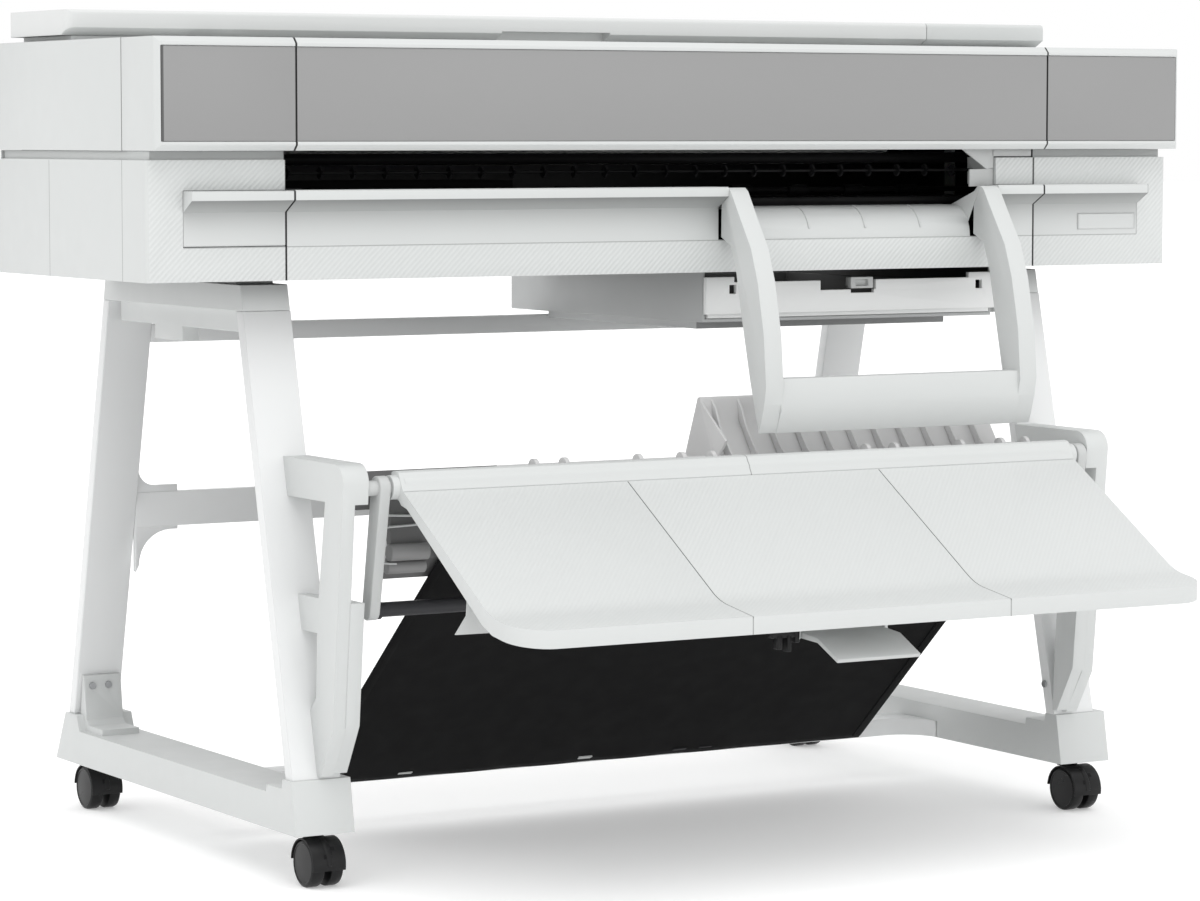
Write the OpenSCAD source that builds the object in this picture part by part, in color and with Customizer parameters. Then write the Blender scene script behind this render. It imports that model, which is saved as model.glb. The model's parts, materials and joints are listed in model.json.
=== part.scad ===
// Wide-format plotter: printing unit on a wheeled stand, with a roll feed under the rear lid,
// a cut-sheet tray under the body, a folding output bail and a front stacker with its catch sheet.
// X runs along the width, Y from front to back, Z up. Inside the modules Y is measured from the
// front face of the upper housing; place() moves it so that the origin is the centre of the base.

/* [Body] */
// Overall width of the printing unit
body_w = 1317; // [1300:1:1340]
// Depth of the housing from its front face to its back
body_d = 431; // [428:1:440]
// Height of the body's underside above the floor
body_z = 634; // [632:1:640]
// Height of the lower covers
lower_h = 126.4; // [125:0.1:128]
// Height of the upper housing
upper_h = 117.5; // [116:0.5:120]
// Gap between the lower covers and the upper housing
neck_h = 9.6; // [8:0.1:11]
// How far the lower covers stand behind the upper housing's face
lower_y = 27; // [26:1:28]
// Wall of the plastic covers
wall = 3; // [2.5:0.5:3.5]
// Left seam of the centre covers, from the middle
seam_l = -499; // [-505:1:-495]
// Right seam of the centre covers, from the middle
seam_r = 465.5; // [462:0.5:470]

/* [Paper path] */
// Radius of the paper roll
roll_r = 58; // [30:1:60]
// Length of the paper roll (36 inch media)
media_w = 914; // [610:1:914]
// Radius of the feed roller
feed_r = 12; // [11:0.5:12]
// Radius of the carriage guide rod
guide_r = 6; // [5:0.5:7]

/* [Stand] */
// Height of the casters
caster_h = 57; // [56:1:58]
// Width of a leg
leg_w = 56; // [50:1:58]
// Thickness of a leg
leg_t = 16; // [14:1:18]
// Length of a foot beam at its base
foot_l = 641; // [630:1:650]
// Height of a foot beam
foot_h = 39; // [36:1:42]

/* [Stacker] */
// Half width of the stacker tray
tray_half_w = 430; // [420:1:432]
// Thickness of the stacker tray
tray_t = 18.5; // [16:0.5:20]
// Radius of the stacker's pivot shaft
shaft_r = 8; // [7:0.5:8.5]
// Half width of the catch sheet
sheet_half_w = 373; // [360:1:375]

/* [Hidden] */
$fn = 48;
half_w = body_w / 2;
lower_top = body_z + lower_h;
upper_z = lower_top + neck_h;
upper_top = upper_z + upper_h;
upper_mid = upper_z + upper_h / 2;
side_seam = 88;
gap = 0.5;
// height of the body at which the side views of the bail and the brackets are drawn
drawn_z = 634;
clear = 0.05;
far = 2000;

// ledge along the lower front, and the panels set into the covers
ledge_y = 5;
ledge_top = body_z + 95;
ledge_front_z = ledge_top - 10.5;
ledge_root_z = ledge_top - 23;
inset_z = body_z + 36;
inset_l = -617;
inset_r = 617;

// folding output bail
bail_x0 = 34.5;
bail_x1 = 400;
bail_arm_w = 23;
bail_pivot = [15, body_z + 86];
bail_pin_r = 2.5;

// upper housing details
bevel = 6;
pocket_low = upper_z + 9.5;
pocket_high = upper_top - 9.4;
lid_y0 = 246;
lid_y1 = 412;
lid_z0 = upper_top + 6.1;
lid_z1 = upper_top + 33.5;
window_y1 = 236;
window_hinge = [238, upper_top - 6];
window_lugs = [-450, 420];
lid_hinge = [404, lid_z0 + 5];
lid_lugs = [-560, 380];
screen_lug = 610;
door_hinge = [29, inset_z + 2.5];
door_pin_r = 1.2;
button_at = [555, 385];
hinge_r = 2;

// mechanism
platen_z = body_z + 82;
feed_axis = [195, platen_z - feed_r];
pinch_r = 6;
pinch_axis = [195, platen_z + pinch_r + 0.4];
guide_axis = [140, body_z + 126];
carriage_x = 556;
belt_z = body_z + 176;
belt_y = 190;
pulley_r = 10;
pulley_x = 606;
star_axis = [74, body_z + 112];
spindle_axis = [330, body_z + 176];
spindle_r = 12;
journal_r = 8;
frame_x = 631;

// stand
left_leg_x = -524.5;
right_leg_x = 458;
leg_ends = [left_leg_x, right_leg_x];
cap_h = 28;
cap_z0 = body_z - 6 - cap_h;
cap_z1 = body_z - 6;
leg_slope_f = 0.2335;
leg_slope_r = 0.2297;
foot_z1 = caster_h + 57;
foot_y0 = -46;
foot_y1 = foot_y0 + foot_l;
foot_x0 = 458.5;
foot_x1 = 527.5;
function front_leg_y(z) = 87 - leg_slope_f * (cap_z1 - z);
function rear_leg_y(z) = 445 + leg_slope_r * (cap_z1 - z);

// stacker
shaft = [-86, body_z - 212];
bracket_w = 30;
bracket_y = 14;
bracket_ends = [-495.5, 484.5];
shaft_journal_r = 6;
tray_bend = [-290.5, shaft[1] - 114];
tray_top = [-104, shaft[1] - 3.5];
tray_lip = [-356, shaft[1] - 123.6];
flap_x = [-46, 58];
flap_hinge = [-264, shaft[1] - 159];
swing_x0 = 441;
swing_w = 12;
rod = [-62, shaft[1] - 130];
rod_r = 7.8;
sheet_low = [249, caster_h + 2];
sheet_high = [-76, shaft[1] - 76];
sheet_t = 2;

// casters
wheel_r = 25;
wheel_w = 15;
axle_r = 3;
stem_r = 5;
trail = 14;
caster_x = 492;
caster_front = -13;
caster_rear = 568;

// half way between the stacker's front edge and the stand's rear end
centre_y = (tray_lip[0] + foot_y1) / 2;

white = [0.90, 0.91, 0.91];
pale = [0.80, 0.81, 0.82];
grey = [0.62, 0.62, 0.62];
dark = [0.24, 0.25, 0.26];
black = [0.06, 0.06, 0.07];
steel = [0.70, 0.71, 0.73];

// ---- helpers ----

// moves the model so that its origin is the centre of the base
module place() { translate([0, -centre_y, 0]) children(); }

// block between two corners
module block(x, y, z) {
    translate([x[0], y[0], z[0]]) cube([x[1] - x[0], y[1] - y[0], z[1] - z[0]]);
}

// outline in (Y, Z) extruded from x0 to x1
module along_x(x0, x1) {
    translate([x0, 0, 0]) rotate([90, 0, 90]) linear_extrude(x1 - x0) children();
}

// outline in (X, Z) extruded from y0 to y1
module along_y(y0, y1) {
    translate([0, y1, 0]) rotate([90, 0, 0]) linear_extrude(y1 - y0) children();
}

// round bar along X
module bar_x(x0, x1, at, r) {
    translate([x0, at[0], at[1]]) rotate([0, 90, 0]) cylinder(h = x1 - x0, r = r);
}

// round bar along Y
module bar_y(y0, y1, x, z, r) {
    translate([x, y1, z]) rotate([90, 0, 0]) cylinder(h = y1 - y0, r = r);
}

// the part and its mirror image on the other side
module pair() {
    children();
    mirror([1, 0, 0]) children();
}

// arc of points round a centre
function arc(c, r, a0, a1, n = 8) =
    [for (i = [0 : n]) c + r * [cos(a0 + (a1 - a0) * i / n), sin(a0 + (a1 - a0) * i / n)]];

// L-shaped wall seen from above: a front run from x1 to the left corner, then a side run to y1
module corner_wall(x0, x1, y0, y1, r, t) {
    polygon(concat([[x1, y0]], arc([x0 + r, y0 + r], r, 270, 180),
                   [[x0, y1], [x0 + t, y1]],
                   arc([x0 + r, y0 + r], r - t, 180, 270), [[x1, y0 + t]]));
}

// cross-section of the projecting ledge with the wall below it
module ledge_outline(low) {
    polygon([[lower_y, low], [lower_y, ledge_root_z], [ledge_y, ledge_front_z],
             [ledge_y, ledge_top - 1.5], [ledge_y + 1.5, ledge_top], [lower_y + 16, ledge_top],
             [lower_y + 16, ledge_top - wall], [lower_y + wall, ledge_top - wall],
             [lower_y + wall, low]]);
}

// ---- lower body ----

module base_pan() {
    color(steel) place() difference() {
        block([-half_w + wall + gap, half_w - wall - gap], [lower_y + wall + gap, body_d - wall - gap],
              [body_z, body_z + 10]);
        block([-half_w + 2 * wall, half_w - 2 * wall], [lower_y + 2 * wall, body_d - 2 * wall],
              [body_z + 3, body_z + 11]);
    }
}

// side and front of one end of the lower body, with the set-back neck above it
module lower_end(x1) {
    translate([0, 0, body_z]) linear_extrude(lower_h)
        corner_wall(-half_w, x1, lower_y, body_d, 5, wall);
    translate([0, 0, lower_top - wall]) linear_extrude(wall) difference() {
        corner_wall(-half_w, x1, lower_y, body_d - wall - 2 * gap, 24, 23);
        corner_wall(-half_w, x1, lower_y, body_d, 5, wall);
    }
    translate([0, 0, lower_top - wall]) linear_extrude(neck_h + wall - 0.3)
        corner_wall(-half_w + 6, x1, lower_y + 3, body_d - 6, 5, wall);
}

module left_lower_cover() {
    color(white) place() {
        difference() {
            lower_end(seam_l - gap);
            block([inset_l, seam_l], [lower_y - 1, lower_y + wall + 1], [inset_z, ledge_top]);
        }
        bar_x(inset_l - 3, inset_l + 8, door_hinge, door_pin_r);
    }
}

module right_lower_cover() {
    color(white) place() {
        difference() {
            mirror([1, 0, 0]) lower_end(-seam_r - gap);
            block([seam_r, inset_r], [lower_y - 1, lower_y + wall + 1], [inset_z, ledge_top - wall]);
        }
        along_x(seam_r + gap, inset_r) ledge_outline(inset_z);
        // cheek that closes the print zone beside the bail
        difference() {
            union() {
                block([412, seam_r + gap], [lower_y, lower_y + wall], [ledge_top + gap, lower_top]);
                block([412, 412 + wall], [lower_y + wall, 84], [ledge_top + gap, lower_top]);
                block([412, seam_r + gap], [lower_y + wall, 44], [lower_top - wall, lower_top]);
            }
            bar_x(411, 413 + wall, star_axis, 1.5 + clear);
        }
    }
}

module cartridge_door() {
    back = lower_y + 4;
    color(white) place() difference() {
        along_x(inset_l + gap, seam_l - gap)
            polygon(concat([[lower_y, ledge_root_z], [ledge_y, ledge_front_z],
                            [ledge_y, ledge_top - 1.5], [ledge_y + 1.5, ledge_top - gap],
                            [back, ledge_top - gap]],
                           arc(door_hinge, 2, 360, 180, 8)));
        bar_x(inset_l, inset_l + 9, door_hinge, door_pin_r + clear);
        bar_x(seam_l - 9, seam_l, door_hinge, door_pin_r + clear);
    }
}

module front_ledge_cover() {
    color(white) place() difference() {
        union() {
            along_x(seam_l + gap, bail_x0 - gap) ledge_outline(body_z);
            along_x(bail_x1 + gap, seam_r - gap) ledge_outline(body_z);
            block([bail_x0 - 1, bail_x1 + 1], [lower_y, lower_y + wall], [body_z, inset_z]);
            bar_x(seam_l - 8, seam_l + 3, door_hinge, door_pin_r);
        }
        bar_x(bail_x0 - 10, bail_x1 + 10, bail_pivot, bail_pin_r + clear);
    }
}

module rear_cover() {
    color(white) place() difference() {
        union() {
            block([-half_w + wall + gap, -524], [body_d - wall, body_d], [body_z, upper_z - gap]);
            block([-523, half_w - wall - gap], [body_d - wall, body_d], [body_z, upper_z - gap]);
        }
        block([-587, -533], [body_d - wall - 1, body_d + 1], [body_z + 29, body_z + 61]);
        for (i = [0 : 11])
            block([-420 + i * 14, -413 + i * 14], [body_d - wall - 1, body_d + 1],
                  [body_z + 30, body_z + 60]);
    }
}

module power_inlet() {
    color(black) place() {
        difference() {
            block([-586.5, -533.5], [body_d - 26, body_d], [body_z + 29.5, body_z + 60.5]);
            block([-580, -540], [body_d - 18, body_d + 1], [body_z + 34, body_z + 56]);
        }
        for (x = [-570, -560, -550])
            block([x - 1, x + 1], [body_d - 18.5, body_d - 4], [body_z + 42, body_z + 48]);
    }
}

// ---- upper housing ----

// bevelled outline of the front of the upper housing
module bezel_outline(back) {
    polygon([[bevel, upper_z], [back, upper_z], [back, upper_top], [bevel, upper_top],
             [0, upper_top - bevel], [0, upper_z + bevel]]);
}

// one end block of the upper front, on the left; x1 is its seam
module upper_end(x1) {
    difference() {
        intersection() {
            along_x(-half_w, x1) bezel_outline(side_seam - gap);
            translate([0, 0, upper_z]) linear_extrude(upper_h)
                polygon([[x1, 0], [-half_w + bevel, 0], [-half_w, bevel], [-half_w, side_seam],
                         [x1, side_seam]]);
        }
        block([-half_w + wall, x1 + 1], [2 * wall, side_seam + 1],
              [upper_z + wall, upper_top - wall]);
        block([-half_w + bevel, x1 + 1], [-1, wall], [pocket_low, pocket_high]);
    }
}

module left_upper_cover() { color(white) place() upper_end(seam_l - gap); }

module right_upper_cover() { color(white) place() mirror([1, 0, 0]) upper_end(-seam_r - gap); }

module end_panels() {
    color(grey) place() {
        block([-half_w + bevel + gap, seam_l - gap], [0.8, wall], [pocket_low + gap, pocket_high - gap]);
        block([seam_r + gap, half_w - bevel - gap], [0.8, wall], [pocket_low + gap, pocket_high - gap]);
    }
}

// lug with a hinge pin that points left; root is the run in Y that joins it to its housing
module hinge_lug(x, at, root) {
    bar_x(x, x + 8, at, 4.5);
    block([x, x + 8], root, [at[1] - 4.5, at[1]]);
    bar_x(x - 24, x + 1, at, hinge_r);
}

// the same lug on a post that stands on the housing's top
module lid_lug(x, at) {
    hinge_lug(x, at, [at[0] - 4, at[0] + 4]);
    block([x, x + 8], [at[0] - 4, at[0] + 4], [upper_top - 1, at[1] - 4]);
}

module rear_housing() {
    color(white) place() difference() {
        union() {
            difference() {
                block([-half_w, half_w], [side_seam, body_d], [upper_z, upper_top]);
                block([-half_w + wall, half_w - wall], [side_seam - 1, body_d - wall],
                      [upper_z - 1, upper_top - wall]);
                // window bay and roll well
                block([seam_l - gap, seam_r + gap], [side_seam - 1, 244],
                      [upper_top - wall - 1, upper_top + 1]);
                block([-600, 450], [268, 398], [upper_top - wall - 1, upper_top + 1]);
            }
            // rim round the roll well
            difference() {
                block([-640, seam_r - 8], [264, 396], [upper_top - wall, lid_z0 - 0.4]);
                block([-600, 450], [268, 392], [upper_top - wall - 1, lid_z0 + 1]);
            }
            for (x = window_lugs) {
                hinge_lug(x, window_hinge, [238, 254]);
                block([x, x + 8], [246, 254], [window_hinge[1] - 4.5, upper_top - 1]);
            }
            for (x = lid_lugs)
                lid_lug(x, lid_hinge);
            lid_lug(screen_lug, lid_hinge);
        }
    }
}

module front_window() {
    color(white) place() difference() {
        union() {
            along_x(seam_l + gap, seam_r - gap)
                polygon([[bevel, upper_z], [22, upper_z], [22, upper_z + wall],
                         [2 * wall + 1, upper_z + wall], [2 * wall, upper_z + wall + 1],
                         [2 * wall, upper_top - wall - 2], [2 * wall + 2, upper_top - wall],
                         [window_y1, upper_top - wall], [window_y1, upper_top],
                         [bevel, upper_top], [0, upper_top - bevel], [0, upper_z + bevel]]);
            for (x = window_lugs - [25, 25])
                difference() {
                    union() {
                        bar_x(x, x + 24, window_hinge, 5);
                        block([x, x + 24], [window_hinge[0] - 14, window_hinge[0]],
                              [window_hinge[1], upper_top - 1]);
                    }
                    bar_x(x - 1, x + 25, window_hinge, hinge_r + clear);
                }
        }
        block([seam_l - 1, seam_r + 1], [-1, wall], [pocket_low, pocket_high]);
        for (x = window_lugs)
            block([x - 1, x + 9], [window_hinge[0] - 8, window_hinge[0]],
                  [upper_top - wall - 1, upper_top + 1]);
    }
}

module window_panel() {
    color(grey) place() block([seam_l + 2 * gap, seam_r - 2 * gap], [0.8, wall],
                              [pocket_low + gap, pocket_high - gap]);
}

// hollow lid with a bevelled front and rounded back edge; its knuckles take the pins of the lugs
module lid(x0, x1, hinge, lugs) {
    difference() {
        union() {
            difference() {
                along_x(x0, x1)
                    polygon(concat([[lid_y0 + 16, lid_z0], [lid_y0, lid_z0 + 8], [lid_y0, lid_z1 - 5]],
                                   arc([lid_y0 + 5, lid_z1 - 5], 5, 180, 90, 4),
                                   arc([lid_y1 - 8, lid_z1 - 8], 8, 90, 0, 4),
                                   [[lid_y1, lid_z0]]));
                block([x0 + wall, x1 - wall], [lid_y0 + 20, lid_y1 - wall], [lid_z0 - 1, lid_z1 - wall]);
            }
            for (x = lugs) {
                bar_x(x - 23, x - 1, hinge, 4.5);
                block([x - 23, x - 1], [hinge[0] - 4, hinge[0] + 4], [hinge[1], lid_z1 - wall + 0.5]);
            }
        }
        for (x = lugs) {
            bar_x(x - 24, x, hinge, hinge_r + clear);
            block([x - 1, x + 9], [hinge[0] + 1, lid_y1 + 1], [lid_z0 - 1, hinge[1] + 8]);
        }
    }
}

module roll_cover() {
    color(white) place() difference() {
        lid(-half_w + 6.5, seam_r - gap, lid_hinge, lid_lugs);
        // finger scoop under the front edge
        block([-119.5, 22.5], [lid_y0 - 1, lid_y0 + 19], [lid_z0 - 1, lid_z0 + 10]);
    }
}

module control_panel() {
    color(white) place() difference() {
        lid(seam_r + gap, 639, lid_hinge, [screen_lug]);
        block([482, 628], [264, 372], [lid_z1 - 1.6, lid_z1 + 1]);
        translate([button_at[0], button_at[1], lid_z1 - 4]) cylinder(h = 5, r = 6.3);
    }
}

module touch_screen() {
    color(black) place() block([482.3, 627.7], [264.3, 371.7], [lid_z1 - 1.6, lid_z1 - 0.2]);
}

module power_button() {
    color(pale) place() translate([button_at[0], button_at[1], 0]) {
        translate([0, 0, lid_z1 - wall - 0.5]) cylinder(h = 4.5, r = 6);
        translate([0, 0, lid_z1 - wall - 1.7]) cylinder(h = 1.5, r = 8);
    }
}

// ---- mechanism ----

module side_frames() {
    color(steel) place() difference() {
        pair() {
            block([frame_x, frame_x + 3], [60, 420], [body_z + 3, upper_z - 5]);
            block([frame_x, frame_x + 3], [92, 420], [upper_z - 6, upper_top - 12]);
        }
        bar_x(-frame_x - 4, frame_x + 4, spindle_axis, journal_r + clear);
        bar_x(frame_x - 1, frame_x + 4, feed_axis, 5 + clear);
        bar_x(-frame_x - 4, frame_x + 4, pinch_axis, 3 + clear);
        bar_x(-frame_x - 4, -frame_x + 1, star_axis, 1.5 + clear);
        // windows that lighten the plate
        for (y = [90, 250])
            block([-frame_x - 4, frame_x + 4], [y, y + 40], [body_z + 25, body_z + 55]);
    }
}

module platen() {
    color(black) place() difference() {
        union() {
            block([seam_l + 4, seam_r - 4], [90, 180], [platen_z - 8, platen_z - 1]);
            for (i = [0 : 23])
                block([seam_l + 20 + i * 39, seam_l + 22 + i * 39], [90, 180],
                      [platen_z - 1.1, platen_z]);
            block([seam_l + 4, seam_r - 4], [90, 94], [body_z + 3, platen_z - 7]);
            block([seam_l + 4, seam_r - 4], [172, 176], [body_z + 3, platen_z - 7]);
            // track of the cutter
            block([seam_l + 4, seam_r - 4], [83, 91], [platen_z - 6, platen_z - 2]);
        }
        for (i = [0 : 11])
            translate([seam_l + 50 + i * 78, 135, platen_z - 9]) cylinder(h = 10, r = 3);
    }
}

module guide_rail() {
    color(steel) place() {
        bar_x(-frame_x, frame_x, guide_axis, guide_r);
        difference() {
            block([-frame_x, frame_x], [206, 226], [body_z + 150, body_z + 200]);
            block([-frame_x - 1, frame_x + 1], [209, 227], [body_z + 153, body_z + 197]);
            bar_y(205, 210, -pulley_x, belt_z, 18.5);
        }
        bar_y(belt_y - 4, 207, pulley_x, belt_z, 2.5);
    }
}

module carriage() {
    color(dark) place() difference() {
        union() {
            block([carriage_x - 60, carriage_x + 60], [98, 184], [platen_z + 6, body_z + 215]);
            for (i = [0 : 3])
                block([carriage_x - 54 + i * 28, carriage_x - 32 + i * 28], [106, 134],
                      [platen_z + 2, platen_z + 7]);
        }
        bar_x(carriage_x - 61, carriage_x + 61, guide_axis, guide_r + clear);
        block([carriage_x - 54, carriage_x + 54], [104, 128], [body_z + 150, body_z + 216]);
    }
}

module belt_outline(r) {
    polygon(concat(arc([pulley_x, belt_z], r, -90, 90, 16), arc([-pulley_x, belt_z], r, 90, 270, 16)));
}

module carriage_belt() {
    color(black) place() along_y(belt_y, belt_y + 6) difference() {
        belt_outline(pulley_r + 2.1);
        belt_outline(pulley_r + 0.4);
    }
}

module pulley(x) {
    difference() {
        union() {
            bar_y(belt_y - 0.5, belt_y + 6.5, x, belt_z, pulley_r);
            bar_y(belt_y + 6.5, belt_y + 8, x, belt_z, pulley_r + 3);
            bar_y(belt_y - 2, belt_y - 0.5, x, belt_z, pulley_r + 3);
        }
        bar_y(belt_y - 3, belt_y + 9, x, belt_z, 2.5 + clear);
    }
}

module drive_pulley() { color(steel) place() pulley(-pulley_x); }

module idler_pulley() { color(steel) place() pulley(pulley_x); }

// motor with its shaft; the second one stands on the feed roller's axis
module drive_motors() {
    color(dark) place() {
        bar_y(belt_y + 20, belt_y + 66, -pulley_x, belt_z, 18);
        bar_y(belt_y - 4, belt_y + 21, -pulley_x, belt_z, 2.5);
        bar_x(-frame_x, -frame_x + 40, feed_axis, 14);
        bar_x(-frame_x + 39, -frame_x + 60, feed_axis, 3);
    }
}

module feed_roller() {
    color(dark) place() difference() {
        union() {
            bar_x(-frame_x + 42, frame_x - 16, feed_axis, feed_r);
            bar_x(frame_x - 17, frame_x + 3, feed_axis, 5);
        }
        bar_x(-frame_x + 41, -frame_x + 62, feed_axis, 3 + clear);
    }
}

module pinch_rollers() {
    color(dark) place() {
        bar_x(-frame_x - 2, frame_x + 2, pinch_axis, 3);
        for (i = [0 : 11])
            bar_x(seam_l + 30 + i * 78, seam_l + 56 + i * 78, pinch_axis, pinch_r);
    }
}

module roll_spindle() {
    color(black) place() {
        bar_x(-frame_x + 3, frame_x - 3, spindle_axis, spindle_r);
        bar_x(-frame_x - 2, frame_x + 2, spindle_axis, journal_r);
    }
}

module spindle_hubs() {
    color(dark) place() for (s = [-1, 1])
        difference() {
            union() {
                bar_x(-18 + s * (media_w / 2 + 4) - 4, -18 + s * (media_w / 2 + 4) + 4,
                      spindle_axis, roll_r + 2);
                bar_x(-18 + s * (media_w / 2 - 20) - 20, -18 + s * (media_w / 2 - 20) + 20,
                      spindle_axis, 25);
            }
            bar_x(-far, far, spindle_axis, spindle_r);
        }
}

module paper_roll() {
    color([0.97, 0.97, 0.95]) place() difference() {
        bar_x(-18 - media_w / 2, -18 + media_w / 2, spindle_axis, roll_r);
        bar_x(-18 - media_w / 2 - 1, -18 + media_w / 2 + 1, spindle_axis, 25);
    }
}

module cutter() {
    color(dark) place() difference() {
        union() {
            block([seam_l + 8, seam_l + 38], [66, 88], [platen_z - 8.5, platen_z + 14]);
            bar_y(60, 67, seam_l + 23, platen_z + 1, 9);
        }
        block([seam_l + 7, seam_l + 39], [82.6, 89], [platen_z - 6.4, platen_z - 1.6]);
    }
}

// toothed wheels that hold the paper's edge on its way to the ramp
module star_wheels() {
    color(dark) place() {
        bar_x(-frame_x - 2, 413.5, star_axis, 1.5);
        for (i = [0 : 22])
            translate([seam_l + 24 + i * 39, 0, 0]) along_x(-1, 1)
                polygon([for (k = [0 : 31]) star_axis + (k % 2 == 0 ? 7 : 5.4) * [cos(k * 11.25), sin(k * 11.25)]]);
    }
}

module ink_cartridges() {
    inks = [[0.1, 0.1, 0.1], [0.0, 0.45, 0.65], [0.75, 0.1, 0.4], [0.9, 0.8, 0.1]];
    place() for (i = [0 : 3])
        color(inks[i]) difference() {
            block([-612 + i * 28, -588 + i * 28], [36, 176], [body_z + 3, body_z + 81]);
            block([-606 + i * 28, -594 + i * 28], [35, 44], [body_z + 20, body_z + 66]);
        }
}

module service_station() {
    color(dark) place() difference() {
        block([seam_r + 10, 628], [96, 182], [body_z + 3, platen_z - 2]);
        for (i = [0 : 3])
            block([seam_r + 22 + i * 34, seam_r + 46 + i * 34], [106, 134],
                  [platen_z - 12, platen_z - 1]);
    }
}

module electronics_box() {
    color(steel) place() difference() {
        block([-500, -60], [330, 420], [body_z + 3, body_z + 100]);
        block([-497, -63], [333, 417], [body_z + 6, body_z + 101]);
    }
}

// ---- output ----

// quarter curve over which paper leaves the platen
function ramp_curve(grow) =
    [for (i = [0 : 10]) [60 - (33 + grow) * cos(i * 9), inset_z + (36 + grow) * sin(i * 9)]];

module output_ramp() {
    x0 = bail_x0 + bail_arm_w + 1;
    x1 = bail_x1 - bail_arm_w - 1;
    color(white) place() {
        along_x(x0, x1)
            polygon(concat(ramp_curve(0), [[88, inset_z + 36], [88, inset_z + 33]],
                           [for (i = [10 : -1 : 0]) ramp_curve(-wall)[i]]));
        for (x = [155.5, 231.5, 307.5])
            along_x(x - 1, x + 1)
                polygon(concat([for (i = [2 : 9]) ramp_curve(1.2)[i]],
                               [for (i = [9 : -1 : 2]) ramp_curve(-0.5)[i]]));
    }
}

// side view of one bail arm, from the pivot end down to its tip
module bail_arm() {
    translate([0, body_z - drawn_z])
        polygon([[14, 728], [21, 722], [22, 673], [2, 664], [-10, 634], [-21, 586], [-38, 520],
                 [-50, 480], [-57, 458.5], [-62, 470], [-68, 490], [-72, 511], [-67, 567],
                 [-54, 625], [-40, 662], [-18, 694], [2, 724], [8, 728]]);
}

module output_bail() {
    z = body_z - drawn_z;
    color(white) place() {
        for (x = [bail_x0, bail_x1 - bail_arm_w])
            along_x(x, x + bail_arm_w) bail_arm();
        along_x(bail_x0 + bail_arm_w - 1, bail_x1 - bail_arm_w + 1)
            polygon([[-67, z + 519], [-69, z + 483], [-58, z + 458.5], [-50, z + 458.5],
                     [-44, z + 486], [-45, z + 519]]);
        bar_x(bail_x0 - 8, bail_x0 + 1, bail_pivot, bail_pin_r);
        bar_x(bail_x1 - 1, bail_x1 + 8, bail_pivot, bail_pin_r);
    }
}

// ---- cut-sheet tray ----

module sheet_tray_housing() {
    color(pale) place() difference() {
        union() {
            block([38.5, 435.5], [68, 512], [body_z - 58, body_z - 7]);
            block([38.5, 52], [68, 425], [body_z - 8, body_z]);
            block([422, 435.5], [68, 425], [body_z - 8, body_z]);
            block([44, 384], [90, 430], [body_z - 66, body_z - 57]);
        }
        block([42, 432], [67, 508], [body_z - 54, body_z + 1]);
    }
}

module sheet_tray() {
    color(white) place() difference() {
        union() {
            block([38.5, 435.5], [60, 66], [body_z - 49, body_z - 13]);
            block([38.5, 76], [60, 66], [body_z - 14, body_z - 7]);
            block([398, 435.5], [60, 66], [body_z - 14, body_z - 7]);
            block([44, 430], [65, 500], [body_z - 53.5, body_z - 48.5]);
            block([44, 47], [65, 500], [body_z - 50, body_z - 20]);
            block([427, 430], [65, 500], [body_z - 50, body_z - 20]);
            block([44, 430], [497, 500], [body_z - 50, body_z - 20]);
        }
        block([192, 268], [59, 67], [body_z - 24, body_z]);
        block([233.5, 265.5], [59, 67], [body_z - 28, body_z - 23]);
        for (x = [69.5, 408])
            block([x, x + 9], [59, 67], [body_z - 26, body_z - 16]);
    }
}

module tray_latch() {
    color(pale) place() difference() {
        block([234, 265], [61, 72], [body_z - 23, body_z - 10]);
        block([241, 258], [60, 66], [body_z - 20, body_z - 13]);
    }
}

// ---- stand ----

module stand_caps() {
    color(white) place() for (x = leg_ends) {
        along_x(x, x + leg_w)
            polygon([[front_leg_y(cap_z0), cap_z0], [rear_leg_y(cap_z0), cap_z0],
                     [rear_leg_y(cap_z1), cap_z1], [front_leg_y(cap_z1), cap_z1]]);
        block([x + 6, x + leg_w - 6], [110, 420], [cap_z1 - 1, body_z]);
        // rail under the cap, with a stop tab
        block([x + 10, x + 30], [110, 425], [cap_z0 - 23, cap_z0 + 1]);
        block([x + 10, x + 30], [257, 331], [cap_z0 - 39, cap_z0 - 22]);
    }
}

// front and rear leg of each side
module legs() {
    color(white) place() difference() {
        for (x = leg_ends)
            along_x(x, x + leg_w) leg_outlines();
        screws(0.1);
    }
}

module leg_outlines() {
    polygon([[front_leg_y(foot_z1), foot_z1], [front_leg_y(foot_z1) + leg_t, foot_z1],
             [front_leg_y(cap_z0) + leg_t, cap_z0], [front_leg_y(cap_z0), cap_z0]]);
    polygon([[rear_leg_y(foot_z1) - leg_t, foot_z1], [rear_leg_y(foot_z1), foot_z1],
             [rear_leg_y(cap_z0), cap_z0], [rear_leg_y(cap_z0) - leg_t, cap_z0]]);
}

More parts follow.
